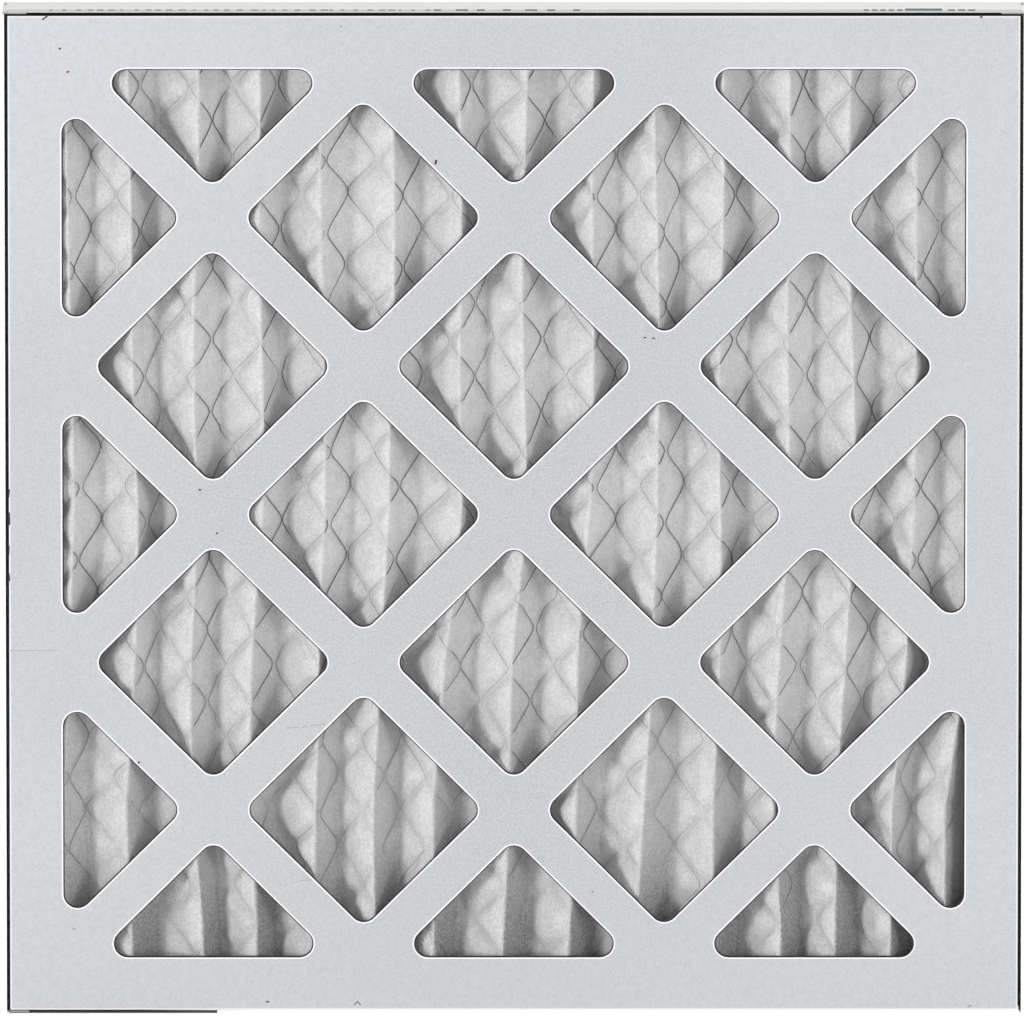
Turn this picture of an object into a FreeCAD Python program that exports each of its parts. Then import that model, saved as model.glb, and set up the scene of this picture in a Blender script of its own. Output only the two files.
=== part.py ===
import FreeCAD, Part
import math
import os
import Sketcher

# Pleated panel air filter, standing on its lower edge with its visible (air leaving) side
# towards -Y. Two shallow paperboard trays nest mouth to mouth: the front one slides inside
# the rear one. Between their lattice faces lies a fan-folded fibre sheet that carries a
# backing of expanded metal, folded with it. The origin is the middle of the lower edge.

# Driving sizes in millimetres
SIZES = {
    "panel_width": 342.9,
    "panel_height": 342.9,
    "panel_depth": 19.05,
    "board": 0.6,
    "lap_clearance": 0.06,
    "fold_radius": 0.9,
    "window_border": 18.4,
    "strip_width": 14.3,
    "window_corner": 4.8,
    "tab_length": 8.0,
    "tab_relief": 1.5,
    "wall_end_setback": 1.3,
    "tray_end_gap": 0.3,
    "pack_clearance": 0.15,
    "pleat_pitch": 21.94,
    "crest_offset": 5.5,
    "flank_share": 0.62,
    "media_thickness": 1.4,
    "backing_thickness": 0.3,
    "backing_clearance": 0.05,
    "cell_width": 38.0,
    "cell_length": 64.0,
    "cell_bond": 8.0,
    "cell_strand": 3.0,
    "cell_margin": 5.0,
}

doc = FreeCAD.newDocument("pleated_panel_air_filter")
sizes = doc.addObject("Spreadsheet::Sheet", "sizes")
for row, (alias, number) in enumerate(SIZES.items(), start=1):
    sizes.set(f"A{row}", alias)
    sizes.set(f"B{row}", str(number))
    sizes.setAlias(f"B{row}", alias)
doc.recompute()

# Sizes that several pieces share, as expressions on the sheet
LAP_GAP = "(sizes.board + 2 * sizes.lap_clearance)"
INNER_WIDTH = f"(sizes.panel_width - 2 * (sizes.board + {LAP_GAP}))"
INNER_HEIGHT = f"(sizes.panel_height - 2 * (sizes.board + {LAP_GAP}))"
STEP_X = f"(({INNER_WIDTH} - 2 * sizes.window_border) / 6)"
STEP_Y = f"(({INNER_HEIGHT} - 2 * sizes.window_border) / 6)"
WINDOW_SHARE = f"(1 - sizes.strip_width / 2 * sqrt(1 / {STEP_X} ^ 2 + 1 / {STEP_Y} ^ 2))"
PACK_WIDTH = f"({INNER_WIDTH} - 2 * (sizes.board + sizes.pack_clearance))"
PACK_HEIGHT = f"({INNER_HEIGHT} - 2 * (sizes.board + {LAP_GAP} + sizes.pack_clearance))"


def worked_out(expression):
    """The number that an expression on the sheet gives."""
    return float(sizes.evalExpression(expression))


def bind(thing, **expressions):
    """Tie properties of an object to expressions on the sheet."""
    for prop, expression in expressions.items():
        thing.setExpression(prop, expression)


def origin_item(body, role):
    """One of a body's own base planes or axes."""
    return next(item for item in body.Origin.OriginFeatures if item.Role == role)


def sketch_on(body, role, name, level="0"):
    """An empty sketch on a base plane of the body, lifted along the plane's normal."""
    sketch = body.newObject("Sketcher::SketchObject", name)
    sketch.AttachmentSupport = [(origin_item(body, role), "")]
    sketch.MapMode = "FlatFace"
    sketch.setExpression("AttachmentOffset.Base.z", level)
    return sketch


def place_point(sketch, index, end, corner):
    """Hold one end of a line at a pair of expressions, measured from the sketch's origin."""
    for kind, expression in zip(("DistanceX", "DistanceY"), corner):
        constraint = Sketcher.Constraint(kind, -1, 1, index, end, worked_out(expression))
        number = sketch.addConstraint(constraint)
        sketch.setExpression(f"Constraints[{number}]", expression)


def add_lines(sketch, corners, closed=True):
    """Straight lines from corner to corner, each corner a pair of expressions."""
    spots = [FreeCAD.Vector(worked_out(x), worked_out(y), 0) for x, y in corners]
    ends = spots[1:] + spots[:1] if closed else spots[1:]
    lines = [sketch.addGeometry(Part.LineSegment(a, b)) for a, b in zip(spots, ends)]
    for before, after in zip(lines, lines[1:]):
        sketch.addConstraint(Sketcher.Constraint("Coincident", before, 2, after, 1))
    if closed:
        sketch.addConstraint(Sketcher.Constraint("Coincident", lines[-1], 2, lines[0], 1))
    for line, corner in zip(lines, corners):
        place_point(sketch, line, 1, corner)
    if not closed:
        place_point(sketch, lines[-1], 2, corners[-1])


def add_rounded_lines(sketch, corners, radius):
    """A closed outline, its corners given anticlockwise and each rounded by a tangent arc."""
    spots = [FreeCAD.Vector(worked_out(x), worked_out(y), 0) for x, y in corners]
    size = worked_out(radius)
    starts, arcs = [], []
    for before, spot, after in zip(spots[-1:] + spots[:-1], spots, spots[1:] + spots[:1]):
        back = (before - spot).normalize()
        ahead = (after - spot).normalize()
        half_angle = back.getAngle(ahead) / 2
        run = size / math.tan(half_angle)
        starts.append((spot + back * run, spot + ahead * run))
        centre = spot + (back + ahead).normalize() * (size / math.sin(half_angle))
        circle = Part.Circle(centre, FreeCAD.Vector(0, 0, 1), size)
        angles = [math.atan2((end - centre).y, (end - centre).x) for end in starts[-1]]
        arcs.append(sketch.addGeometry(Part.ArcOfCircle(circle, angles[0], angles[1])))
    lines = [
        sketch.addGeometry(Part.LineSegment(here[1], there[0]))
        for here, there in zip(starts, starts[1:] + starts[:1])
    ]
    marks = [sketch.addGeometry(Part.Point(spot), True) for spot in spots]
    for number, (arc, mark, corner) in enumerate(zip(arcs, marks, corners)):
        sketch.addConstraint(Sketcher.Constraint("Tangent", lines[number - 1], 2, arc, 1))
        sketch.addConstraint(Sketcher.Constraint("Tangent", arc, 2, lines[number], 1))
        sketch.addConstraint(Sketcher.Constraint("PointOnObject", mark, 1, lines[number - 1]))
        sketch.addConstraint(Sketcher.Constraint("PointOnObject", mark, 1, lines[number]))
        rounding = sketch.addConstraint(Sketcher.Constraint("Radius", arc, size))
        sketch.setExpression(f"Constraints[{rounding}]", radius)
        place_point(sketch, mark, 1, corner)


def rectangle(left, right, low, high):
    """The four corners of an upright rectangle."""
    return [(left, low), (right, low), (right, high), (left, high)]


def pocket_through(body, sketch, name):
    """Cut a sketch through all that lies behind it."""
    pocket = body.newObject("PartDesign::Pocket", name)
    pocket.Profile = sketch
    pocket.Type = "ThroughAll"
    return pocket


def repeat(body, name, originals, patterns):
    """Repeat features: each pattern is a base axis, a count and an overall length, or a plane."""
    repeats = body.newObject("PartDesign::MultiTransform", name)
    repeats.Originals = originals
    steps = []
    for role, count, length in patterns:
        if role.endswith("Plane"):
            step = body.newObject("PartDesign::Mirrored", f"{name}_mirror")
            step.MirrorPlane = (origin_item(body, role), [""])
        else:
            step = body.newObject("PartDesign::LinearPattern", f"{name}_row")
            step.Direction = (origin_item(body, role), [""])
            step.Occurrences = count
            step.setExpression("Length", length)
        steps.append(step)
    repeats.Transformations = steps
    body.Tip = repeats
    doc.recompute()
    return repeats


def edges_where(feature, wanted):
    """Names of the edges of a feature whose two end points pass a test."""
    names = []
    for number, edge in enumerate(feature.Shape.Edges, start=1):
        points = [vertex.Point for vertex in edge.Vertexes]
        if len(points) == 2 and wanted(*points):
            names.append(f"Edge{number}")
    return names


def round_edges(body, name, base, edge_names, radius):
    """A fillet on named edges of the last feature."""
    fillet = body.newObject("PartDesign::Fillet", name)
    fillet.Base = (base, edge_names)
    fillet.setExpression("Radius", radius)
    doc.recompute()
    return fillet


def make_tray(name, width, height, depth):
    """One die-cut tray, drawn face up: its face lies at z = 0 and its walls hang below it.

    The blank is creased along the four sides of the face. The two side walls carry glue
    tabs, which turn the corner and lie under the ends of the other two walls.
    """
    body = doc.addObject("PartDesign::Body", name)
    body.Label = name

    # The blank, folded: a shallow open box of board with rounded creases
    outline = sketch_on(body, "XY_Plane", f"{name}_outline")
    half_width = f"{width} / 2"
    half_height = f"{height} / 2"
    add_lines(outline, rectangle(f"-{half_width}", half_width, f"-{half_height}", half_height))
    block = body.newObject("PartDesign::Pad", f"{name}_block")
    block.Profile = outline
    block.Reversed = True
    bind(block, Length=depth)
    doc.recompute()
    tiny = 1e-6
    face_edges = edges_where(block, lambda a, b: abs(a.z) < tiny and abs(b.z) < tiny)
    round_edges(body, f"{name}_creases", block, face_edges, "sizes.fold_radius")
    hollow = sketch_on(body, "XY_Plane", f"{name}_hollow", "-sizes.board")
    inside_width = f"{half_width} - sizes.board"
    inside_height = f"{half_height} - sizes.board"
    add_lines(hollow, rectangle(f"-({inside_width})", inside_width, f"-({inside_height})", inside_height))
    pocket_through(body, hollow, f"{name}_shell")
    doc.recompute()

    # Windows: staggered rhombs, and half rhombs along the four borders
    reach_x = f"{STEP_X} * {WINDOW_SHARE}"
    reach_y = f"{STEP_Y} * {WINDOW_SHARE}"
    for label, across, up, columns, rows in (("outer", -1, -2, 2, 3), ("inner", -2, -1, 3, 2)):
        middle = (f"{across} * {STEP_X}", f"{up} * {STEP_Y}")
        rhomb = [
            (f"{middle[0]} + {reach_x}", middle[1]),
            (middle[0], f"{middle[1]} + {reach_y}"),
            (f"{middle[0]} - {reach_x}", middle[1]),
            (middle[0], f"{middle[1]} - {reach_y}"),
        ]
        sketch = sketch_on(body, "XY_Plane", f"{name}_{label}_rhomb")
        add_rounded_lines(sketch, rhomb, "sizes.window_corner")
        window = pocket_through(body, sketch, f"{name}_{label}_window")
        repeat(body, f"{name}_{label}_windows", [window], [
            ("X_Axis", columns, f"{2 * (columns - 1)} * {STEP_X}"),
            ("Y_Axis", rows, f"{2 * (rows - 1)} * {STEP_Y}"),
        ])
    upper_half = [
        (f"-2 * {STEP_X} + {reach_x}", f"3 * {STEP_Y}"),
        (f"-2 * {STEP_X} - {reach_x}", f"3 * {STEP_Y}"),
        (f"-2 * {STEP_X}", f"3 * {STEP_Y} - {reach_y}"),
    ]
    side_half = [
        (f"-3 * {STEP_X}", f"-2 * {STEP_Y} + {reach_y}"),
        (f"-3 * {STEP_X}", f"-2 * {STEP_Y} - {reach_y}"),
        (f"-3 * {STEP_X} + {reach_x}", f"-2 * {STEP_Y}"),
    ]
    for label, corners, axis, step, plane in (
        ("upper", upper_half, "X_Axis", STEP_X, "XZ_Plane"),
        ("side", side_half, "Y_Axis", STEP_Y, "YZ_Plane"),
    ):
        sketch = sketch_on(body, "XY_Plane", f"{name}_{label}_half")
        add_rounded_lines(sketch, corners, "sizes.window_corner")
        window = pocket_through(body, sketch, f"{name}_{label}_half_window")
        repeat(body, f"{name}_{label}_half_windows", [window], [
            (axis, 3, f"4 * {step}"),
            (plane, 2, "0"),
        ])

    # The two long walls stop short of the corners, clear of the folded side walls, and the
    # cut that frees them runs a little way into the crease
    below_crease = "-sizes.fold_radius / 2"
    wall_line = f"{half_height} - sizes.board - sizes.lap_clearance"
    past_height = f"{half_height} + sizes.board"
    past_width = f"{half_width} + sizes.board"
    wall_end = f"{half_width} - sizes.wall_end_setback"
    ends = sketch_on(body, "XY_Plane", f"{name}_wall_end", below_crease)
    add_lines(ends, rectangle(wall_end, past_width, wall_line, past_height))
    relief = pocket_through(body, ends, f"{name}_wall_end_cut")
    repeat(body, f"{name}_wall_ends", [relief], [("YZ_Plane", 2, "0"), ("XZ_Plane", 2, "0")])

    # Glue tabs: from the side walls round the corner, under the long walls
    tab_level = "-sizes.fold_radius - sizes.tab_relief"
    tab = sketch_on(body, "XY_Plane", f"{name}_tab_outline", tab_level)
    tab_end = f"{half_width} - sizes.tab_length"
    add_lines(tab, rectangle(tab_end, half_width, f"{wall_line} - sizes.board", wall_line))
    tabs = body.newObject("PartDesign::Pad", f"{name}_tab")
    tabs.Profile = tab
    tabs.Reversed = True
    bind(tabs, Length=f"{depth} - sizes.fold_radius - 2 * sizes.tab_relief")
    repeat(body, f"{name}_tabs", [tabs], [("YZ_Plane", 2, "0"), ("XZ_Plane", 2, "0")])
    return body


def stand_up(piece, level, turned):
    """Stand a piece drawn face up on its lower edge, facing the front or turned to the rear."""
    upright = FreeCAD.Rotation(FreeCAD.Vector(1, 0, 0), 90)
    about = FreeCAD.Rotation(FreeCAD.Vector(0, 0, 1), 180 if turned else 0)
    piece.Placement = FreeCAD.Placement(FreeCAD.Vector(0, 0, 0), about.multiply(upright))
    piece.setExpression("Placement.Base.y", level)
    piece.setExpression("Placement.Base.z", "sizes.panel_height / 2")


front_tray = make_tray(
    "front_tray", INNER_WIDTH, INNER_HEIGHT, "(sizes.panel_depth - sizes.board - sizes.tray_end_gap)"
)
stand_up(front_tray, "-sizes.panel_depth / 2", turned=False)
rear_tray = make_tray("rear_tray", "sizes.panel_width", "sizes.panel_height", "sizes.panel_depth")
stand_up(rear_tray, "sizes.panel_depth / 2", turned=True)

# The fold line of the fibre sheet, seen from above: its crests meet the front lattice, and
# the long flank of each pleat leads up to its crest from the left. The metal's sharp folds
# reach further than its thickness, by the ratio of the sheet's length to the pack's width;
# the fibre's folds are round.
depth_limit = "(sizes.panel_depth / 2 - sizes.board - sizes.pack_clearance)"
long_flank = f"sqrt((sizes.flank_share * sizes.pleat_pitch) ^ 2 + (2 * {depth_limit}) ^ 2)"
short_flank = f"sqrt(((1 - sizes.flank_share) * sizes.pleat_pitch) ^ 2 + (2 * {depth_limit}) ^ 2)"
fold_spread = f"(({long_flank} + {short_flank}) / sizes.pleat_pitch)"
half_media = "sizes.media_thickness / 2"
front_of_media = f"({half_media} + sizes.backing_clearance + sizes.backing_thickness)"
crest = f"{front_of_media} * {fold_spread} - {depth_limit}"
valley = f"{depth_limit} - {half_media}"
pack_floor = f"(sizes.panel_height - {PACK_HEIGHT}) / 2"
half_pack = worked_out(PACK_WIDTH) / 2
pitch = worked_out("sizes.pleat_pitch")
first = math.floor((-half_pack - worked_out("sizes.crest_offset")) / pitch) - 1
last = math.ceil((half_pack - worked_out("sizes.crest_offset")) / pitch) + 1
folds = []
for number in range(first, last + 1):
    crest_x = f"sizes.crest_offset + {number} * sizes.pleat_pitch"
    folds.append((crest_x, crest))
    folds.append((f"{crest_x} + (1 - sizes.flank_share) * sizes.pleat_pitch", valley))
fold_line = doc.addObject("Sketcher::SketchObject", "fold_line")
add_lines(fold_line, folds, closed=False)
fold_line.setExpression("Placement.Base.z", pack_floor)


def thickened(name, line, thickness, join):
    """A folded sheet: the fold line given its thickness, raised, and cut to the trays' inside."""
    section = doc.addObject("Part::Offset2D", f"{name}_section")
    section.Source = line
    section.Mode = "Pipe"
    section.Join = join
    bind(section, Value=f"{thickness} / 2")
    web = doc.addObject("Part::Extrusion", f"{name}_web")
    web.Base = section
    web.Solid = True
    web.DirMode = "Custom"
    web.Dir = FreeCAD.Vector(0, 0, 1)
    bind(web, LengthFwd=PACK_HEIGHT)
    room = doc.addObject("Part::Box", f"{name}_room")
    bind(room, Length=PACK_WIDTH, Width="sizes.panel_depth", Height=PACK_HEIGHT)
    room.setExpression("Placement.Base.x", f"-{PACK_WIDTH} / 2")
    room.setExpression("Placement.Base.y", "-sizes.panel_depth / 2")
    room.setExpression("Placement.Base.z", pack_floor)
    cut_to_size = doc.addObject("Part::Common", f"{name}_cut_to_size")
    cut_to_size.Base = web
    cut_to_size.Tool = room
    return cut_to_size


# The fibre sheet
pleated_media = thickened("media", fold_line, "sizes.media_thickness", "Arc")
pleated_media.Label = "pleated_media"

# The metal backing follows the front of the fibre sheet, and is opened into staggered cells
backing_line = doc.addObject("Part::Offset2D", "backing_line")
backing_line.Source = fold_line
backing_line.Mode = "Skin"
backing_line.Join = "Intersection"
bind(backing_line, Value=f"{front_of_media} - sizes.backing_thickness / 2")
backing_sheet = thickened("backing", backing_line, "sizes.backing_thickness", "Intersection")
doc.recompute()

backing = doc.addObject("PartDesign::Body", "expanded_metal_backing")
backing.Label = "expanded_metal_backing"
backing.BaseFeature = backing_sheet
doc.recompute()
cell_row = "((sizes.cell_length + sizes.cell_bond) / 2)"
cell_share = "(1 - sizes.cell_strand / sizes.cell_width)"
cells_across = f"({PACK_WIDTH} - 2 * sizes.cell_margin - sizes.cell_width / 2) / sizes.cell_width"
cells_up = f"(({PACK_HEIGHT} - 2 * sizes.cell_margin - sizes.cell_length) / {cell_row} + 1) / 2"
columns = int(worked_out(cells_across))
row_pairs = int(worked_out(cells_up))
side = f"sizes.cell_width / 2 * {cell_share}"
bond = f"sizes.cell_bond / 2 * {cell_share}"
point = f"sizes.cell_length / 2 * {cell_share}"
gaps = []
for label, shift, lift in (("even", "-1 / 4", "-1 / 2"), ("odd", "1 / 4", "1 / 2")):
    middle = f"(({shift} - {columns - 1} / 2) * sizes.cell_width)"
    level = f"(sizes.panel_height / 2 + ({lift} - {row_pairs - 1}) * {cell_row})"
    cell = sketch_on(backing, "XZ_Plane", f"{label}_cell")
    add_lines(cell, [
        (f"{middle} - {side}", f"{level} - {bond}"),
        (middle, f"{level} - {point}"),
        (f"{middle} + {side}", f"{level} - {bond}"),
        (f"{middle} + {side}", f"{level} + {bond}"),
        (middle, f"{level} + {point}"),
        (f"{middle} - {side}", f"{level} + {bond}"),
    ])
    gap = pocket_through(backing, cell, f"{label}_gap")
    gap.Midplane = True
    gaps.append(gap)
repeat(backing, "gaps", gaps, [
    ("X_Axis", columns, f"{columns - 1} * sizes.cell_width"),
    ("Z_Axis", row_pairs, f"{2 * (row_pairs - 1)} * {cell_row}"),
])
doc.recompute()

# Nothing is written unless every object was worked out and every piece is one sound solid
for item in doc.Objects:
    if {"Invalid", "Error"} & set(item.State):
        raise RuntimeError(f"{item.Name} could not be worked out: {item.State}")
pieces = (front_tray, rear_tray, pleated_media, backing)
for piece in pieces:
    shape = piece.Shape
    if shape.isNull() or not shape.isValid() or len(shape.Solids) != 1:
        raise RuntimeError(f"{piece.Label} is not one sound solid")
os.makedirs("parts", exist_ok=True)
for piece in pieces:
    piece.Shape.exportStep(f"parts/{piece.Label}.step")
    print(piece.Label, round(piece.Shape.Volume), piece.Shape.BoundBox)
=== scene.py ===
import math

import bpy
import numpy as np
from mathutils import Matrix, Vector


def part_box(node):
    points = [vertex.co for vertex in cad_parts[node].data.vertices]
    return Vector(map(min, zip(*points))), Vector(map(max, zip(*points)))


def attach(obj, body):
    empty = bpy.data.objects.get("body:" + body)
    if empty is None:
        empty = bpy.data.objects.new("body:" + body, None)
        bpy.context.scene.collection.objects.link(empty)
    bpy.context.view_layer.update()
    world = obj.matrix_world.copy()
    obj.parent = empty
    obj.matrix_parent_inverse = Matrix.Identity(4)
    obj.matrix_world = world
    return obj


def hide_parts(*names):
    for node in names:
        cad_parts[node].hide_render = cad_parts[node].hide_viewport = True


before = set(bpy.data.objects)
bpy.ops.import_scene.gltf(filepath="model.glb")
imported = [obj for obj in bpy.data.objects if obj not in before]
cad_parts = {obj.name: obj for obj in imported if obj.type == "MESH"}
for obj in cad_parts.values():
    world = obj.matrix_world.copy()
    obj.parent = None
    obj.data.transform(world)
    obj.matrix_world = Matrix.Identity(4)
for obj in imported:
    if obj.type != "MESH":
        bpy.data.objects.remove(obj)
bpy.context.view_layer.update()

# The two trays: thin clay-coated grey paperboard, die-cut into lattices, creased and folded.
# The front tray sits inside the rear one, so the rear tray's cut edges frame the face.
FACE_LOW, FACE_HIGH = (tuple(corner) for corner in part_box("front_tray"))
REAR_LOW, REAR_HIGH = (tuple(corner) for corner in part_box("rear_tray"))
PANEL_WIDTH = REAR_HIGH[0] - REAR_LOW[0]
PANEL_HEIGHT = REAR_HIGH[2] - REAR_LOW[2]
FRONT_Y, REAR_Y = REAR_LOW[1], REAR_HIGH[1]
MIDDLE_Z = PANEL_HEIGHT / 2
# All windows lie within this distance of the middle, upwards and sideways
WINDOW_FIELD = 0.1522
BOARD_THICKNESS = 0.0006


def paint(red, green, blue):
    """A colour in the shader's own linear values, from the eight-bit values seen in print."""
    parts = [value / 255 for value in (red, green, blue)]
    linear = [p / 12.92 if p <= 0.04045 else ((p + 0.055) / 1.055) ** 2.4 for p in parts]
    return (*linear, 1.0)


def add(tree, kind, *sources, **settings):
    """A node with its settings; each source is a value or an output, in the inputs' order."""
    made = tree.nodes.new(kind)
    for name, value in settings.items():
        setattr(made, name, value)
    for place, source in enumerate(sources):
        if isinstance(source, bpy.types.NodeSocket):
            tree.links.new(source, made.inputs[place])
        elif source is not None:
            made.inputs[place].default_value = source
    return made


def maths(tree, operation, *sources):
    """The result of a math node."""
    return add(tree, "ShaderNodeMath", *sources, operation=operation).outputs[0]


def blend_colours(tree, share, first, second):
    """A colour between two others."""
    mix = tree.nodes.new("ShaderNodeMix")
    mix.data_type = "RGBA"
    for place, source in ((0, share), (6, first), (7, second)):
        if isinstance(source, bpy.types.NodeSocket):
            tree.links.new(source, mix.inputs[place])
        else:
            mix.inputs[place].default_value = source
    return mix.outputs[2]


def ramp(tree, value, low, high):
    """0 below the low end, 1 above the high end, and even between them."""
    made = add(tree, "ShaderNodeMapRange", value, low, high, 0.0, 1.0, clamp=True)
    return made.outputs[0]


def cloud(tree, place, scale, detail=3.0, roughness=0.6):
    """Even noise from 0 to 1."""
    made = add(tree, "ShaderNodeTexNoise", place, None, scale, detail, roughness)
    return made.outputs[0]


def new_finish(name, roughness):
    """A material, its tree, its shader and the Object coordinates."""
    finish = bpy.data.materials.new(name)
    finish.use_nodes = True
    tree = finish.node_tree
    shader = tree.nodes["Principled BSDF"]
    shader.inputs["Roughness"].default_value = roughness
    place = add(tree, "ShaderNodeTexCoord").outputs["Object"]
    return finish, tree, shader, place


def plain_finish(name, roughness, colour):
    """A material of one even colour."""
    finish, _, shader, _ = new_finish(name, roughness)
    shader.inputs["Base Color"].default_value = colour
    return finish


def dress(node, finish):
    """Give a carried-over node its finish."""
    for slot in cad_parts[node].material_slots:
        slot.material = finish


def board_finish(name, outside):
    """Grey board: clouded clay coat with grain; painted shade along the fold's seam, painted
    highlights on the fold, on the cut edges and in the upper left.
    """
    finish, tree, shader, place = new_finish(name, 0.62)
    across, depth, up = add(tree, "ShaderNodeSeparateXYZ", place).outputs
    normal = add(tree, "ShaderNodeNewGeometry").outputs["Normal"]
    facing = add(tree, "ShaderNodeSeparateXYZ", normal).outputs
    height = maths(tree, "ABSOLUTE", maths(tree, "SUBTRACT", up, MIDDLE_Z))
    width = maths(tree, "ABSOLUTE", across)
    widest = maths(tree, "MAXIMUM", width, height)
    # The coat is paler towards the border and at the foot; the paler upper left is a painted
    # highlight, where the light falls stronger
    clouds = maths(tree, "MULTIPLY", ramp(tree, cloud(tree, place, 14.0, 2.0), 0.35, 0.65), 0.25)
    outwards = ramp(tree, maths(tree, "ADD", width, height), 0.06, 0.26)
    paler = maths(tree, "ADD", clouds, maths(tree, "MULTIPLY", outwards, 0.75))
    coat = blend_colours(tree, paler, paint(179, 180, 184), paint(199, 200, 204))
    foot = maths(tree, "MULTIPLY", ramp(tree, up, 0.04, 0.0), 0.6)
    coat = blend_colours(tree, foot, coat, paint(204, 205, 209))
    painted_light_upper_left = ramp(tree, maths(tree, "SUBTRACT", up, across), 0.40, 0.52)
    coat = blend_colours(tree, painted_light_upper_left, coat, paint(208, 209, 214))
    mottle = ramp(tree, cloud(tree, place, 420.0, 3.0, 0.7), 0.38, 0.62)
    coat = blend_colours(tree, maths(tree, "MULTIPLY", mottle, 0.4), coat, paint(178, 179, 183))
    grain = ramp(tree, cloud(tree, place, 1700.0, 2.0, 0.6), 0.42, 0.58)
    coat = blend_colours(tree, maths(tree, "MULTIPLY", grain, 0.5), coat, paint(211, 212, 217))
    speck = add(tree, "ShaderNodeTexVoronoi", place, None, 70.0)
    chosen = add(tree, "ShaderNodeSeparateXYZ", speck.outputs["Color"]).outputs[0]
    near = maths(tree, "LESS_THAN", speck.outputs["Distance"], 0.024)
    speck_share = maths(tree, "MULTIPLY", near, maths(tree, "GREATER_THAN", chosen, 0.84))
    coat = blend_colours(tree, maths(tree, "MULTIPLY", speck_share, 0.7), coat, paint(96, 96, 98))

    # The die-cut edges are painted near-white, a painted highlight where they catch the light: in
    # the windows, and round the mouth of the outer tray
    sideways = maths(tree, "LESS_THAN", maths(tree, "ABSOLUTE", facing[1]), 0.5)
    cut_edge_highlight = maths(tree, "MULTIPLY", sideways, maths(tree, "LESS_THAN", widest, WINDOW_FIELD))
    if outside:
        rim = maths(tree, "LESS_THAN", depth, FRONT_Y + BOARD_THICKNESS / 4)
        cut_edge_highlight = maths(tree, "MAXIMUM", cut_edge_highlight, rim)
        behind = ramp(tree, depth, -0.0070, -0.0064)
        on_wall = maths(tree, "GREATER_THAN", widest, FACE_HIGH[0])
        wall_coat = blend_colours(tree, behind, paint(186, 187, 188), paint(219, 218, 212))
        coat = blend_colours(tree, on_wall, coat, wall_coat)
        inked = maths(tree, "MULTIPLY", rim, maths(tree, "GREATER_THAN", up, FACE_HIGH[2]))
    else:
        # The crease: a pale band along it is a painted highlight on the fold's rounding, and the
        # seam round it is painted black, painted shade of the gap between the trays, but for the
        # right part of the lower side
        to_edge = maths(
            tree,
            "MINIMUM",
            maths(tree, "SUBTRACT", FACE_HIGH[0], width),
            maths(tree, "SUBTRACT", FACE_HIGH[2] - MIDDLE_Z, height),
        )
        pale = ramp(tree, to_edge, 0.0011, 0.0006)
        coat = blend_colours(tree, pale, coat, paint(246, 246, 248))
        past_start = ramp(tree, across, -0.125, -0.085)
        low_right = maths(tree, "MULTIPLY", past_start, ramp(tree, up, 0.0035, 0.0025))
        seam_shade_kept = maths(tree, "SUBTRACT", 1.0, low_right)
        painted_seam_shade = maths(tree, "MULTIPLY", ramp(tree, to_edge, 0.00048, 0.0004), seam_shade_kept)
        coat = blend_colours(tree, painted_seam_shade, coat, paint(14, 14, 15))
    coat = blend_colours(tree, cut_edge_highlight, coat, paint(250, 250, 248))
    if outside:
        coat = blend_colours(tree, inked, coat, paint(192, 193, 194))
    tree.links.new(coat, shader.inputs["Base Color"])
    tooth = add(tree, "ShaderNodeBump", 0.12, 0.0002)
    tree.links.new(cloud(tree, place, 900.0, 2.0, 0.7), tooth.inputs["Height"])
    tree.links.new(tooth.outputs[0], shader.inputs["Normal"])
    return finish


dress("front_tray", board_finish("coated_board", False))
dress("rear_tray", board_finish("coated_board_outside", True))

# The die crushes the board round every window: the coat stands up in a fine lip, painted near-white
# as a painted highlight along the cut edge, and below it a sloping ring is painted near-black,
# painted shade where the opening falls into shadow.
WINDOW_BORDER = 0.0184
STRIP_WIDTH = 0.0143
WINDOW_CORNER = 0.0048
INNER_HALF = FACE_HIGH[0]
STEP = (INNER_HALF - WINDOW_BORDER) / 3
WINDOW_REACH = STEP * (1 - STRIP_WIDTH / 2 * math.sqrt(2) / STEP)
ARC_STEPS = 8


def rounded_outline(corners, radius):
    """Points and outward directions round a polygon given anticlockwise, its corners rounded."""
    points, outward = [], []
    for number, corner in enumerate(corners):
        corner = np.array(corner)
        back = np.array(corners[number - 1]) - corner
        ahead = np.array(corners[(number + 1) % len(corners)]) - corner
        back, ahead = back / np.linalg.norm(back), ahead / np.linalg.norm(ahead)
        half_angle = math.acos(float(np.clip(back @ ahead, -1, 1))) / 2
        middle = back + ahead
        centre = corner + middle / np.linalg.norm(middle) * radius / math.sin(half_angle)
        start = math.atan2(*(corner + back * radius / math.tan(half_angle) - centre)[::-1])
        turn = math.pi - 2 * half_angle
        for step in range(ARC_STEPS + 1):
            angle = start + turn * step / ARC_STEPS
            direction = np.array((math.cos(angle), math.sin(angle)))
            points.append(centre + radius * direction)
            outward.append(direction)
    return np.array(points), np.array(outward)


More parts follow.
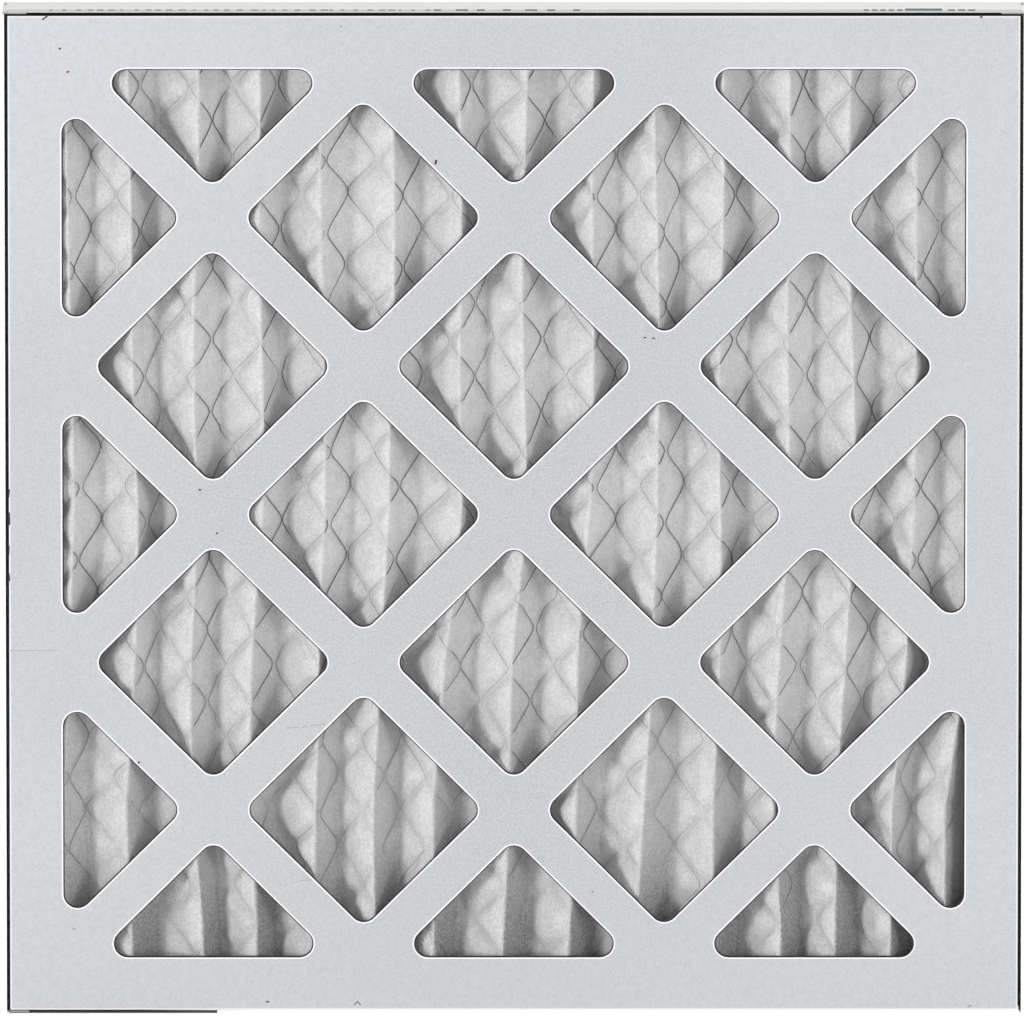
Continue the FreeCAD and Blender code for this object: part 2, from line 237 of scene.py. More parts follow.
def window_outlines():
    """Every window of a lattice, seen from the front, about the middle of the face."""
    full = [(WINDOW_REACH, 0), (0, WINDOW_REACH), (-WINDOW_REACH, 0), (0, -WINDOW_REACH)]
    places = [(x, z) for x in (-1, 1) for z in (-2, 0, 2)]
    places += [(x, z) for x in (-2, 0, 2) for z in (-1, 1)]
    corner_lists = [[(x * STEP + a, z * STEP + b) for a, b in full] for x, z in places]
    for k in (-2, 0, 2):
        for side in (-1, 1):
            edge, tip = 3 * side * STEP, side * (3 * STEP - WINDOW_REACH)
            middle = k * STEP
            level = [(middle + WINDOW_REACH, edge), (middle - WINDOW_REACH, edge), (middle, tip)]
            upright = [(edge, middle - WINDOW_REACH), (edge, middle + WINDOW_REACH), (tip, middle)]
            corner_lists.append(level if side > 0 else level[::-1])
            corner_lists.append(upright if side > 0 else upright[::-1])
    return [rounded_outline(corners, WINDOW_CORNER) for corners in corner_lists]


def make_window_rings(name, face_y, inward, section, finish):
    """A closed ring round every window; the section is (outside the edge, into the board) pairs."""
    points, faces = [], []
    for outline, outward in window_outlines():
        start, count, round_it = len(points), len(outline), len(section)
        for spot, direction in zip(outline, outward):
            for beyond, into in section:
                x, z = spot + direction * beyond
                points.append((x, face_y + inward * into, MIDDLE_Z + z))
        for i in range(count):
            for j in range(round_it):
                a, b = start + i * round_it + j, start + i * round_it + (j + 1) % round_it
                c = start + (i + 1) % count * round_it + (j + 1) % round_it
                d = start + (i + 1) % count * round_it + j
                faces.append((a, b, c, d) if inward > 0 else (d, c, b, a))
    mesh = bpy.data.meshes.new(name)
    mesh.from_pydata(points, [], faces)
    mesh.materials.append(finish)
    rings = bpy.data.objects.new(name, mesh)
    bpy.context.collection.objects.link(rings)
    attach(rings, "root")


# The lip is painted near-white, a painted highlight; the ring below it is near-black and mottled,
# painted shade
lip_highlight = plain_finish("lip_painted_highlight", 0.6, paint(250, 250, 250))
ring_shade, tree, shader, place = new_finish("ring_painted_shade", 0.9)
ring_shade_mottle = ramp(tree, cloud(tree, place, 160.0), 0.35, 0.65)
ring_shade_tone = blend_colours(tree, ring_shade_mottle, paint(12, 12, 12), paint(52, 51, 50))
tree.links.new(ring_shade_tone, shader.inputs["Base Color"])
LIP = [
    (0.00050, -0.00001),
    (0.00038, -0.00008),
    (0.00008, -0.00010),
    (0.0, -0.00003),
    (0.00004, 0.0001),
    (0.00046, 0.0001),
]
SHADE_RING = [
    (0.00004, 0.00002),
    (-0.00004, 0.00006),
    (-0.00040, 0.00058),
    (-0.00040, 0.00062),
    (0.00004, 0.00062),
]
for face, face_y, inward in (("front", FRONT_Y, 1), ("rear", REAR_Y, -1)):
    make_window_rings(f"{face}_lips", face_y, inward, LIP, lip_highlight)
    make_window_rings(f"{face}_shade_rings", face_y, inward, SHADE_RING, ring_shade)

# Print and wear on the board: a row of bars and one navy field printed along the top wall,
# and on the face a few specks, nicks and scuffs.
INK_HEIGHT = 0.00003
BAR_LOW_Y, BAR_HIGH_Y = -0.0093, -0.0064
NAVY_FIELD = (0.1311, 0.1435, -0.0093, -0.0046)
FIRST_TICK, TICK_PITCH, TICKS = -0.1556, 0.0039, 33
# Bars on the top wall: from and to, across
BARS = [
    (-0.0268, -0.0245),
    (-0.0195, -0.0154),
    (-0.0124, -0.0097),
    (-0.0037, -0.0010),
    (0.0037, 0.0078),
    (0.0111, 0.0138),
    (0.0199, 0.0222),
]
# Even rows of bars beside the navy field: first edge, width, pitch and count
BAR_ROWS = ((0.1172, 0.0018, 0.0028, 5), (0.1454, 0.0024, 0.0034, 3))
# Marks on the face: across, up, length, width, and turn in degrees
DARK_MARKS = [
    (-0.1572, 0.3405, 0.0022, 0.0005, 35.0),
    (-0.1522, 0.3301, 0.0008, 0.0006, 0.0),
    (-0.1495, 0.3222, 0.0009, 0.0006, 20.0),
    (0.1566, 0.3408, 0.0009, 0.0005, 0.0),
    (-0.0262, 0.2915, 0.0016, 0.0007, 80.0),
    (0.0440, 0.2318, 0.0009, 0.0004, 10.0),
    (0.0469, 0.2315, 0.0011, 0.0004, -15.0),
    (-0.1055, 0.1798, 0.0008, 0.0006, 0.0),
    (-0.0998, 0.1650, 0.0008, 0.0005, 40.0),
    (-0.1263, 0.0865, 0.0010, 0.0006, 45.0),
    (-0.0830, 0.0045, 0.0009, 0.0006, 0.0),
    (-0.0533, 0.0040, 0.0018, 0.0003, 50.0),
    (-0.0522, 0.0040, 0.0018, 0.0003, -50.0),
    (-0.1697, 0.1785, 0.0030, 0.0005, 84.0),
    (-0.1696, 0.1700, 0.0042, 0.0006, 92.0),
    (-0.1698, 0.1590, 0.0034, 0.0005, 87.0),
    (-0.1697, 0.1500, 0.0026, 0.0006, 95.0),
]
FAINT_MARKS = [
    (-0.1620, 0.1249, 0.0160, 0.00025, 0.6),
    (-0.0745, 0.0985, 0.0040, 0.00030, 4.0),
    (-0.0705, 0.0988, 0.0022, 0.00028, 8.0),
    (-0.0660, 0.0994, 0.0050, 0.00032, 6.0),
    (-0.0700, 0.0462, 0.0034, 0.00028, 2.0),
    (-0.1481, 0.0295, 0.0012, 0.00060, 0.0),
    (0.1536, 0.0030, 0.0014, 0.00070, 20.0),
]


def make_flakes(name, outlines, step, finish):
    """Closed thin flakes: each outline is four points, and step is the way through the flake."""
    points, faces = [], []
    for outline in outlines:
        start = len(points)
        points += [tuple(np.array(spot)) for spot in outline]
        points += [tuple(np.array(spot) + np.array(step)) for spot in outline]
        faces.append((start, start + 3, start + 2, start + 1))
        faces.append((start + 4, start + 5, start + 6, start + 7))
        for i in range(4):
            j = (i + 1) % 4
            faces.append((start + i, start + j, start + 4 + j, start + 4 + i))
    mesh = bpy.data.meshes.new(name)
    mesh.from_pydata(points, [], faces)
    mesh.materials.append(finish)
    flakes = bpy.data.objects.new(name, mesh)
    bpy.context.collection.objects.link(flakes)
    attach(flakes, "root")


def on_top(low_x, high_x, low_y, high_y):
    """A rectangle on the top wall."""
    top = REAR_HIGH[2] - INK_HEIGHT / 2
    return [(low_x, low_y, top), (high_x, low_y, top), (high_x, high_y, top), (low_x, high_y, top)]


def on_face(x, z, length, width, degrees):
    """A turned rectangle on the visible face."""
    turn = math.radians(degrees)
    ahead = np.array((math.cos(turn), 0.0, math.sin(turn))) * length / 2
    aside = np.array((-math.sin(turn), 0.0, math.cos(turn))) * width / 2
    middle = np.array((x, FRONT_Y + INK_HEIGHT / 2, z))
    low, high = middle - aside, middle + aside
    return [low - ahead, low + ahead, high + ahead, high - ahead]


navy = plain_finish("navy_print", 0.6, paint(44, 52, 92))
dark_ink = plain_finish("dark_print", 0.7, paint(58, 59, 68))
thin_ink = plain_finish("thin_print", 0.7, paint(124, 126, 134))
soot_mark = plain_finish("soot_mark", 0.8, paint(46, 45, 45))
scuff = plain_finish("scuffed_coat", 0.7, paint(162, 163, 167))
upward, forward_step = (0.0, 0.0, INK_HEIGHT), (0.0, -INK_HEIGHT, 0.0)
make_flakes("printed_field", [on_top(*NAVY_FIELD)], upward, navy)
bars = list(BARS)
for first_edge, bar_width, pitch, count in BAR_ROWS:
    edges = [first_edge + pitch * i for i in range(count)]
    bars += [(edge, edge + bar_width) for edge in edges]
outlines = [on_top(low, high, BAR_LOW_Y, BAR_HIGH_Y) for low, high in bars]
make_flakes("printed_bars", outlines, upward, dark_ink)
starts = [FIRST_TICK + TICK_PITCH * i + 0.0003 * (i * i % 5) for i in range(TICKS)]
ticks = [(start, start + 0.0010 + 0.0003 * (i * 7 % 6)) for i, start in enumerate(starts)]
outlines = [on_top(low, high, BAR_LOW_Y, BAR_HIGH_Y) for low, high in ticks]
make_flakes("printed_ticks", outlines, upward, thin_ink)
make_flakes("specks", [on_face(*mark) for mark in DARK_MARKS], forward_step, soot_mark)
make_flakes("scuffs", [on_face(*mark) for mark in FAINT_MARKS], forward_step, scuff)

# A pale strip closes the seam between the trays along the foot, from the place where the painted
# seam shade ends, so the gap shows no shade; its near-white is painted light. It lies just behind
# the face.
BEAD_FROM, BEAD_TO = -0.1000, 0.1704
BEAD_BEHIND_FACE, BEAD_DEPTH = 0.00015, 0.0020
BEAD_INTO_REAR, BEAD_INTO_FRONT = 0.00005, 0.00025
low_z, high_z = REAR_LOW[2] + BOARD_THICKNESS - BEAD_INTO_REAR, FACE_LOW[2] + BEAD_INTO_FRONT
back_y = FRONT_Y + BEAD_BEHIND_FACE + BEAD_DEPTH
corners = ((BEAD_FROM, low_z), (BEAD_TO, low_z), (BEAD_TO, high_z), (BEAD_FROM, high_z))
bead = [(x, back_y, z) for x, z in corners]
pale_seam_cover = plain_finish("pale_seam_cover", 0.6, paint(250, 250, 250))
make_flakes("foot_seam_cover", [bead], (0.0, -BEAD_DEPTH, 0.0), pale_seam_cover)

# The fibre sheet: white spun polyester, a little over a millimetre thick, fan-folded with the
# metal on its front. It puffs forward through the metal's cells, and its folds wander a little.
FLANK_SHARE = 0.62
PLEAT_PITCH = 0.02194
CREST_OFFSET = 0.0055
LOFT = 0.0013
STEPS_ON_SHORT, STEPS_ON_LONG = 9, 15
CROWDING = 1.25
STEPS_UP = 220
BACK_COARSER, BACK_COARSER_UP = 3, 4
CREST_Y = -0.0079
VALLEY_Y = 0.0062
CELL_LENGTH = 0.0248
STRAND_PITCH = 0.0130
PUFF = 0.0022
VALLEY_ROUNDING = 0.24
# A fold's slow and quick sway up the sheet: size, length and how far it differs between folds
SWAYS = ((0.0007, 0.052, 1.0), (0.0005, 0.023, 2.1))
# A strand's zigzag: a wave pressed towards straight runs, and cut off where strands meet
SWING_GAIN, SWING_DEPTH = 1.22, 0.94
# A puff grows away from a strand; flanks are partly full, and less so at folds
PUFF_WIDTH, PUFF_POWER = 0.0036, 2.5
SHORT_FULLNESS, LONG_FULLNESS = 0.18, 0.35
CREST_FADE, CREST_FULLNESS, VALLEY_FADE = 0.22, 0.25, 0.40
RUMPLE = 0.0004
# Painted shade on the flanks turned from the light, spread wide and then heavy at the foot: its
# share, where it begins and how it deepens
FLANK_SHADE_BANDS = ((0.75, 0.165, 0.125), (0.6, 0.060, 0.030))
MEDIA_LOW, MEDIA_HIGH = (tuple(corner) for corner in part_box("pleated_media"))
SHORT_RUN, LONG_RUN = (1 - FLANK_SHARE) * PLEAT_PITCH, FLANK_SHARE * PLEAT_PITCH
SHORT_FLANK = math.hypot(SHORT_RUN, VALLEY_Y - CREST_Y)
LONG_FLANK = math.hypot(LONG_RUN, VALLEY_Y - CREST_Y)
# The folds lean left towards the bottom: how far each is moved, by place across and by height
LEAN_PLACES = (-0.150, -0.105, -0.065, -0.020, 0.020, 0.070, 0.100, 0.130, 0.160)
LEAN_HEIGHTS = (0.000, 0.030, 0.071, 0.1215, 0.172, 0.245)
LEAN = (
    (-0.0020, -0.0013, -0.0060, -0.0105, -0.0100, -0.0050, -0.0030, -0.0100, -0.0130),
    (-0.0020, -0.0013, -0.0060, -0.0098, -0.0092, -0.0045, -0.0030, -0.0097, -0.0130),
    (-0.0040, -0.0040, -0.0069, -0.0098, -0.0066, -0.0042, -0.0050, -0.0098, -0.0130),
    (-0.0005, -0.0040, -0.0058, -0.0069, -0.0055, -0.0024, -0.0032, -0.0043, -0.0070),
    (0.0010, -0.0020, -0.0032, -0.0020, -0.0012, -0.0014, -0.0012, -0.0010, -0.0030),
    (-0.0022, -0.0024, -0.0037, -0.0017, -0.0014, -0.0012, -0.0015, -0.0020, -0.0028),
)


def fold_places(height):
    """Where the folds run at each height: crest, valley, crest, ... from left to right."""
    first = math.ceil((MEDIA_LOW[0] - CREST_OFFSET) / PLEAT_PITCH) - 1
    last = math.floor((MEDIA_HIGH[0] - CREST_OFFSET) / PLEAT_PITCH) + 1
    folds = []
    for number in range(first, last + 1):
        crest = CREST_OFFSET + number * PLEAT_PITCH
        for place, front in ((crest, True), (crest + SHORT_RUN, False)):
            leans = [np.interp(place, LEAN_PLACES, row) for row in LEAN]
            lean = np.interp(height, LEAN_HEIGHTS, leans)
            phase = 2.3 * number + (0.0 if front else 1.1)
            sway = sum(size * np.sin(height / long + turn * phase) for size, long, turn in SWAYS)
            folds.append(place + lean + sway)
    return np.array(folds)


def strand_places(number, height):
    """How far along the unfolded sheet a strand of the metal lies at each height."""
    wave = np.sin(2 * math.pi * height / CELL_LENGTH + math.pi * number)
    swing = np.clip(SWING_GAIN * np.arcsin(SWING_DEPTH * wave) / (math.pi / 2), -1.0, 1.0)
    return (number + 0.5 + 0.5 * swing) * STRAND_PITCH


def on_fold(along, height):
    """Points of the unpuffed sheet at distances along it, with their forward direction.

    Both arguments are arrays of the same length. A distance counts flanks of regular length.
    """
    folds = fold_places(height)
    pleat = np.floor(along / (LONG_FLANK + SHORT_FLANK))
    rest = along - pleat * (LONG_FLANK + SHORT_FLANK)
    on_short = rest < SHORT_FLANK
    share = np.where(on_short, rest / SHORT_FLANK, (rest - SHORT_FLANK) / LONG_FLANK)
    start = np.clip(2 * pleat.astype(int) + np.where(on_short, 0, 1), 0, len(folds) - 2)
    columns = np.arange(len(height))
    left, right = folds[start, columns], folds[start + 1, columns]
    x = left + (right - left) * share
    climb = np.where(on_short, 1 - share, share)
    whole = math.sqrt(1 + VALLEY_ROUNDING**2) - VALLEY_ROUNDING
    softened = (np.sqrt(climb**2 + VALLEY_ROUNDING**2) - VALLEY_ROUNDING) / whole
    y = VALLEY_Y + (CREST_Y - VALLEY_Y) * softened
    run = right - left
    steepness = climb / np.sqrt(climb**2 + VALLEY_ROUNDING**2) / whole
    rise = np.where(on_short, VALLEY_Y - CREST_Y, CREST_Y - VALLEY_Y) * steepness
    length = np.hypot(run, rise)
    forward = np.stack([rise / length, -run / length, np.zeros(len(height))], axis=1)
    return np.stack([x, y, height], axis=1), forward, share, on_short


def puff_at(along, height):
    """How far the fibre stands forward: held down by the nearest strand, full in a cell."""
    nearest = np.full(len(along), STRAND_PITCH)
    first = np.floor(along / STRAND_PITCH - 0.5).astype(int)
    for step in (-1, 0, 1, 2):
        place = strand_places(first + step, height)
        nearest = np.minimum(nearest, np.abs(along - place))
    return 1.0 - np.exp(-((nearest / PUFF_WIDTH) ** PUFF_POWER))


def grid_faces(columns, rows, start, flipped):
    """Four-sided faces over a grid of points."""
    faces = []
    for column in range(columns - 1):
        for row in range(rows - 1):
            corner = start + column * rows + row
            face = (corner, corner + rows, corner + rows + 1, corner + 1)
            faces.append(face[::-1] if flipped else face)
    return faces


def rim_faces(front, back, flipped):
    """Many-sided faces between a fine row of points and a coarse one."""
    faces = []
    finer = (len(front) - 1) // (len(back) - 1)
    for number in range(len(back) - 1):
        face = front[number * finer : (number + 1) * finer + 1] + [back[number + 1], back[number]]
        faces.append(face[::-1] if flipped else face)
    return faces


def make_media():
    """The puffed sheet as a closed skin: a fine front, a coarser back and a rim between them."""
    rows = STEPS_UP + 1
    heights = np.linspace(MEDIA_LOW[2] + 0.0002, MEDIA_HIGH[2] - 0.0002, rows)
    alongs = [0.0]
    for flank in range(len(fold_places(np.zeros(1))) - 1):
        if flank % 2 == 0:
            length, shares = SHORT_FLANK, np.linspace(0, 1, STEPS_ON_SHORT + 1) ** CROWDING
        else:
            length, shares = LONG_FLANK, 1 - np.linspace(1, 0, STEPS_ON_LONG + 1) ** CROWDING
        alongs += list(alongs[-1] + length * shares[1:])
    alongs = np.array(alongs[:-1])
    along, height = (grid.ravel() for grid in np.meshgrid(alongs, heights, indexing="ij"))
    across = np.reshape(on_fold(along, height)[0][:, 0], (len(alongs), rows))
    within = (across.min(axis=1) > MEDIA_LOW[0]) & (across.max(axis=1) < MEDIA_HIGH[0])
    inside = np.flatnonzero(within)
    first = -(-inside[0] // BACK_COARSER) * BACK_COARSER
    last = inside[-1] // BACK_COARSER * BACK_COARSER
    alongs = alongs[first : last + 1]
    along, height = (grid.ravel() for grid in np.meshgrid(alongs, heights, indexing="ij"))
    base, forward, share, on_short = on_fold(along, height)
    columns = len(alongs)
    from_crest = np.clip(np.where(on_short, share, 1 - share) / CREST_FADE, 0.0, 1.0)
    from_valley = np.clip(share / VALLEY_FADE, 0.0, 1.0)
    growing = from_valley**2 * (3 - 2 * from_valley)
    long_fullness = LONG_FULLNESS + (1 - LONG_FULLNESS) * growing
    fullness = np.where(on_short, SHORT_FULLNESS, long_fullness)
    fullness = fullness * (CREST_FULLNESS + (1 - CREST_FULLNESS) * from_crest)
    puff = puff_at(along, height)
    rumple = RUMPLE * np.sin(height / 0.0061 + along / 0.0047)
    rumple *= np.sin(height / 0.013 - along / 0.0083)
    lift = (PUFF + rumple) * puff * fullness
    front = base + forward * lift[:, None]
    front[:, 1] = np.maximum(front[:, 1], MEDIA_LOW[1] - 0.0010)
    spread = LOFT * (LONG_FLANK + SHORT_FLANK) / PLEAT_PITCH
    lean = (LONG_RUN * spread - LONG_FLANK * LOFT) / (VALLEY_Y - CREST_Y)
    back = base + np.array([-lean, spread, 0.0]) - forward * (0.3 * rumple)[:, None]
    back[:, 1] = np.minimum(back[:, 1], MEDIA_HIGH[1])
    back = back.reshape(columns, rows, 3)[::BACK_COARSER, ::BACK_COARSER_UP]
    back_columns, back_rows = back.shape[:2]
    points = np.concatenate([front, back.reshape(-1, 3)])
    points[:, 0] = np.clip(points[:, 0], MEDIA_LOW[0], MEDIA_HIGH[0])
    rear = columns * rows
    faces = grid_faces(columns, rows, 0, False) + grid_faces(back_columns, back_rows, rear, True)
    for row, back_row, flipped in ((0, 0, True), (rows - 1, back_rows - 1, False)):
        fine = [column * rows + row for column in range(columns)]
        coarse = [rear + column * back_rows + back_row for column in range(back_columns)]
        faces += rim_faces(fine, coarse, flipped)
    for column, back_column, flipped in ((0, 0, False), (columns - 1, back_columns - 1, True)):
        fine = [column * rows + row for row in range(rows)]
        coarse = [rear + back_column * back_rows + row for row in range(back_rows)]
        faces += rim_faces(fine, coarse, flipped)
    mesh = bpy.data.meshes.new("fibre_sheet")
    mesh.from_pydata(points.tolist(), [], faces)
    mesh.polygons.foreach_set("use_smooth", [True] * len(mesh.polygons))
    # Painted shade on the flanks turned away from the light, more of it lower down
    low_down = sum(part * np.clip((top - height) / depth, 0.0, 1.0) for part, top, depth in FLANK_SHADE_BANDS)
    turned_from_light = np.where(on_short, 1.0, np.clip(1.0 - share / 0.30, 0.0, 1.0) * 0.7)
    flank_shade = np.concatenate([low_down * turned_from_light, np.zeros(back_columns * back_rows)])
    mesh.attributes.new("flank_shade", "FLOAT", "POINT").data.foreach_set("value", flank_shade)
    piece = bpy.data.objects.new("fibre_sheet", mesh)
    bpy.context.collection.objects.link(piece)
    return piece


fibre, tree, shader, place = new_finish("spun_fibre", 0.9)
stretched = add(tree, "ShaderNodeMapping", place, None, None, (1.0, 1.0, 0.4)).outputs[0]
blotches = ramp(tree, cloud(tree, place, 130.0, 2.0, 0.6), 0.32, 0.68)
tint = blend_colours(tree, blotches, paint(205, 204, 204), paint(224, 224, 226))
thin_spots = ramp(tree, cloud(tree, place, 700.0, 2.0, 0.7), 0.38, 0.62)
tint = blend_colours(tree, maths(tree, "MULTIPLY", thin_spots, 0.5), tint, paint(192, 191, 189))
threads = ramp(tree, cloud(tree, place, 1500.0, 2.0, 0.7), 0.40, 0.60)
tint = blend_colours(tree, maths(tree, "MULTIPLY", threads, 0.5), tint, paint(244, 244, 245))
# Painted shade: the flanks turned from the light are darkened, with a grainy grit
grainy_flank_shade = add(tree, "ShaderNodeAttribute", attribute_name="flank_shade").outputs["Fac"]
grit = ramp(tree, cloud(tree, place, 1200.0, 2.0, 0.7), 0.38, 0.62)
grainy_flank_shade = maths(tree, "MULTIPLY", grainy_flank_shade, maths(tree, "MULTIPLY_ADD", grit, 0.35, 0.42))
tint = blend_colours(tree, grainy_flank_shade, tint, paint(140, 139, 137))
tree.links.new(tint, shader.inputs["Base Color"])
fuzz = add(tree, "ShaderNodeBump", 0.8, 0.0009)
tree.links.new(cloud(tree, stretched, 900.0, 3.0, 0.75), fuzz.inputs["Height"])
tree.links.new(fuzz.outputs[0], shader.inputs["Normal"])
media = make_media()
media.data.materials.append(fibre)
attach(media, "root")
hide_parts("pleated_media")

# The backing: expanded metal, slit and stretched from one thin galvanised sheet, glued to the
# front of the fibre before folding. Its strands meet at short upright bonds.
STRAND_WIDTH = 0.00026
STRAND_THICKNESS = 0.00024
STRAND_STEP = 0.0018
STRAND_LIFT = 0.00060
# How deep the strands lie in the fibre: it wanders, and grows at the foot and on the long flanks
SINKS = ((0.0004, 0.019, 1.7), (0.0003, 0.0075, 2.9))
SINK_AT_FOOT, FOOT_TOP, FOOT_DEPTH = 0.0009, 0.085, 0.05
SINK_ON_LONG = 0.00012
# The strands are paler low down, where fibre clings over them, and paler on the long flanks, a
# painted highlight where those flanks face the light
CLING_LOW, CLING_TOP, CLING_DEPTH, LIT_FLANK_SHARE = 0.55, 0.15, 0.08, 0.25


def make_strand_lines():
    """Every strand's middle line, laid over the folded sheet, as bare edges."""
    low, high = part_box("expanded_metal_backing")
    heights = np.arange(low[2] + 0.0003, high[2] - 0.0003, STRAND_STEP)
    pleats = (len(fold_places(np.zeros(1))) - 1) // 2
    strands = int(pleats * (LONG_FLANK + SHORT_FLANK) / STRAND_PITCH)
    points, edges, cover_and_highlight = [], [], []
    for number in range(1, strands):
        along = strand_places(number, heights)
        spots, forward, share, on_short = on_fold(along, heights)
        lift = sum(size * np.sin(heights / length + turn * number) for size, length, turn in SINKS)
        lift -= SINK_AT_FOOT * np.clip((FOOT_TOP - heights) / FOOT_DEPTH, 0.0, 1.0)
        lift -= np.where(on_short, 0.0, SINK_ON_LONG)
        spots = spots + forward * (STRAND_LIFT + lift)[:, None]
        if spots[:, 0].min() < low[0] or spots[:, 0].max() > high[0]:
            continue
        spots[:, 1] = np.maximum(spots[:, 1], FACE_LOW[1] + BOARD_THICKNESS + 0.0002)
        start = len(points)
        points += spots.tolist()
        low_down = CLING_LOW * np.clip((CLING_TOP - heights) / CLING_DEPTH, 0.0, 1.0)
        lit_flank_paleness = np.clip(share / LIT_FLANK_SHARE, low_down, 1.0)
        cover_and_highlight += np.where(on_short, low_down, lit_flank_paleness).tolist()
        edges += [(start + i, start + i + 1) for i in range(len(spots) - 1)]
    mesh = bpy.data.meshes.new("strand_lines")
    mesh.from_pydata(points, edges, [])
    mesh.attributes.new("cover_and_highlight", "FLOAT", "POINT").data.foreach_set("value", cover_and_highlight)
    lines = bpy.data.objects.new("strand_lines", mesh)
    bpy.context.collection.objects.link(lines)
    return lines


def strand_tree():
    """Turns lines into flat metal strands of a named width and thickness."""
    tree = bpy.data.node_groups.new("metal_strands", "GeometryNodeTree")
    face = tree.interface
    face.new_socket("Lines", in_out="INPUT", socket_type="NodeSocketGeometry")
    width = face.new_socket("Strand Width", in_out="INPUT", socket_type="NodeSocketFloat")
    thickness = face.new_socket("Strand Thickness", in_out="INPUT", socket_type="NodeSocketFloat")
    metal = face.new_socket("Metal", in_out="INPUT", socket_type="NodeSocketMaterial")
    face.new_socket("Strands", in_out="OUTPUT", socket_type="NodeSocketGeometry")
    given = add(tree, "NodeGroupInput").outputs
    curves = add(tree, "GeometryNodeMeshToCurve", given["Lines"]).outputs[0]
    section = add(tree, "GeometryNodeCurvePrimitiveQuadrilateral")
    tree.links.new(given["Strand Width"], section.inputs["Width"])
    tree.links.new(given["Strand Thickness"], section.inputs["Height"])
    solid = add(tree, "GeometryNodeCurveToMesh")
    tree.links.new(curves, solid.inputs["Curve"])
    tree.links.new(section.outputs[0], solid.inputs["Profile Curve"])
    solid.inputs["Fill Caps"].default_value = True
    real = add(tree, "GeometryNodeRealizeInstances", solid.outputs[0]).outputs[0]
    coated = add(tree, "GeometryNodeSetMaterial")
    tree.links.new(real, coated.inputs["Geometry"])
    tree.links.new(given["Metal"], coated.inputs["Material"])
    out = add(tree, "NodeGroupOutput")
    tree.links.new(coated.outputs[0], out.inputs[0])
    return tree, width.identifier, thickness.identifier, metal.identifier


def made_plain(source, name):
    """The evaluated shape of an object as a plain mesh piece; the source is removed."""
    evaluated = source.evaluated_get(bpy.context.evaluated_depsgraph_get())
    mesh = bpy.data.meshes.new_from_object(evaluated)
    mesh.name = name
    piece = bpy.data.objects.new(name, mesh)
    bpy.context.collection.objects.link(piece)
    bpy.data.objects.remove(source)
    return piece


metal, tree, shader, place = new_finish("dull_zinc", 0.45)
spangle = ramp(tree, cloud(tree, place, 300.0), 0.35, 0.65)
bare = blend_colours(tree, spangle, paint(104, 103, 101), paint(130, 129, 127))
fibred_and_lit = blend_colours(tree, spangle, paint(208, 207, 206), paint(226, 225, 224))
# Paler where fibre covers the strands low down, and a painted highlight on the long flanks that
# face the light
pale = add(tree, "ShaderNodeAttribute", attribute_name="cover_and_highlight").outputs["Fac"]
tree.links.new(blend_colours(tree, pale, bare, fibred_and_lit), shader.inputs["Base Color"])
shader.inputs["Metallic"].default_value = 0.35
lines = make_strand_lines()
tree, width_input, thickness_input, metal_input = strand_tree()
modifier = lines.modifiers.new("strands", "NODES")
modifier.node_group = tree
modifier[width_input] = STRAND_WIDTH
modifier[thickness_input] = STRAND_THICKNESS
modifier[metal_input] = metal
strands = made_plain(lines, "metal_strands")
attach(strands, "root")
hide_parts("expanded_metal_backing")

# The ground and the light: a plain pale floor, an even pale surround, a soft key lamp in front
# on the left, weaker lamps in front, on the right and above, and one for the rear face.


def shows_backdrop(tree):
    """1 where the white backdrop is to be seen: by the camera, in metal and in glass."""
    path = add(tree, "ShaderNodeLightPath").outputs
    mirrored = maths(tree, "MAXIMUM", path["Is Glossy Ray"], path["Is Transmission Ray"])
    return maths(tree, "MAXIMUM", path["Is Camera Ray"], mirrored)


floor_finish, tree, shader, _ = new_finish("pale_floor", 0.9)
shader.inputs["Base Color"].default_value = (0.92, 0.92, 0.92, 1.0)
shader.inputs["Specular IOR Level"].default_value = 0.0
seen = shows_backdrop(tree)
glow = add(tree, "ShaderNodeEmission", (1.0, 1.0, 1.0, 1.0), 1.10).outputs[0]
share = maths(tree, "MULTIPLY", seen, 0.85)
bleached = add(tree, "ShaderNodeMixShader", share, shader.outputs[0], glow)
tree.links.new(bleached.outputs[0], tree.nodes["Material Output"].inputs["Surface"])
bpy.ops.mesh.primitive_plane_add(size=120.0)
floor = bpy.context.object
floor.name = "floor"
floor.data.materials.append(floor_finish)

world = bpy.data.worlds.new("surround")
bpy.context.scene.world = world
world.use_nodes = True
tree = world.node_tree
tree.nodes.clear()
seen = shows_backdrop(tree)
surround = add(tree, "ShaderNodeBackground", (1.0, 1.0, 1.0, 1.0), 0.46).outputs[0]
white = add(tree, "ShaderNodeBackground", (1.0, 1.0, 1.0, 1.0), 1.0).outputs[0]
mixed = add(tree, "ShaderNodeMixShader", seen, surround, white).outputs[0]
add(tree, "ShaderNodeOutputWorld", mixed)


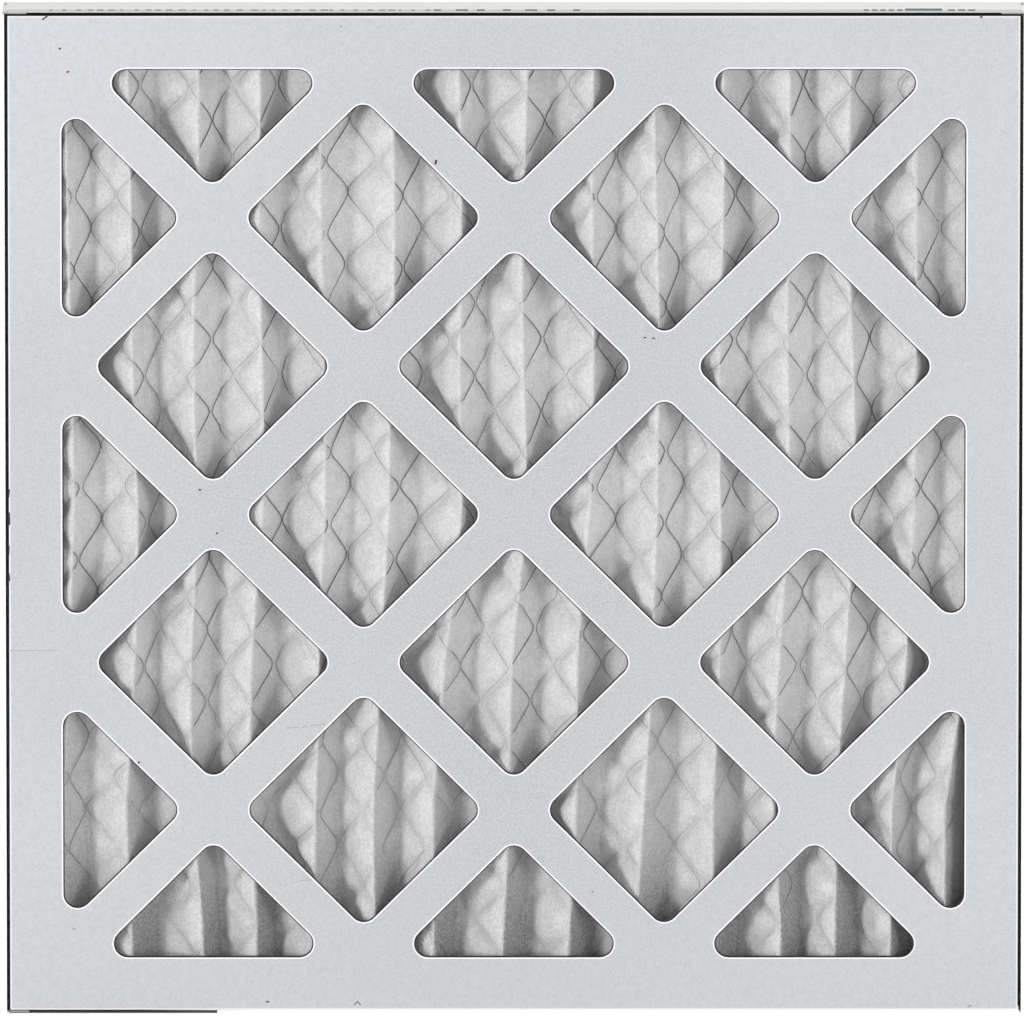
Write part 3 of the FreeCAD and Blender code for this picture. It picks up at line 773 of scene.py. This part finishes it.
def add_lamp(name, place, size, power):
    """A soft square lamp that points at the middle of the filter."""
    light = bpy.data.lights.new(name, "AREA")
    light.size = size
    light.energy = power
    lamp = bpy.data.objects.new(name, light)
    lamp.location = place
    aim = np.array((0.0, 0.0, MIDDLE_Z)) - np.array(place)
    yaw = math.atan2(aim[1], aim[0]) - math.pi / 2
    tilt = math.pi / 2 + math.asin(aim[2] / np.linalg.norm(aim))
    lamp.rotation_euler = (tilt, 0.0, yaw)
    lamp.visible_camera = False
    bpy.context.collection.objects.link(lamp)


add_lamp("key_lamp", (-2.75, -3.3, 0.42), 1.0, 70.0)
add_lamp("front_lamp", (0.3, -4.0, 0.35), 1.0, 16.0)
add_lamp("fill_lamp", (2.4, -3.0, 0.40), 1.2, 34.0)
add_lamp("top_lamp", (0.0, 0.3, 3.0), 1.0, 34.0)
add_lamp("back_lamp", (1.0, 3.6, 0.60), 1.2, 55.0)

# The camera: far off with a long lens, ten degrees above the filter's middle.
CAMERA_RISE = math.radians(10.3)
CAMERA_DISTANCE = 10.0
SENSOR = 36.0
IMAGE_WIDTH, PANEL_PIXELS = 1024, 1020.4
MIDDLE_DROP_PIXELS = 6.4
MIDDLE_RIGHT_PIXELS = 1.9
metres_per_pixel = PANEL_WIDTH / PANEL_PIXELS
eye = bpy.data.cameras.new("camera")
eye.sensor_width = SENSOR
eye.lens = SENSOR * CAMERA_DISTANCE / (IMAGE_WIDTH * metres_per_pixel)
eye.clip_end = 200.0
camera = bpy.data.objects.new("camera", eye)
bpy.context.collection.objects.link(camera)
target_z = MIDDLE_Z + MIDDLE_DROP_PIXELS * metres_per_pixel / math.cos(CAMERA_RISE)
camera.location = (
    -MIDDLE_RIGHT_PIXELS * metres_per_pixel,
    FRONT_Y - CAMERA_DISTANCE * math.cos(CAMERA_RISE),
    target_z + CAMERA_DISTANCE * math.sin(CAMERA_RISE),
)
camera.rotation_euler = (math.pi / 2 - CAMERA_RISE, 0.0, 0.0)
bpy.context.scene.camera = camera
bpy.context.scene.view_settings.view_transform = "Standard"
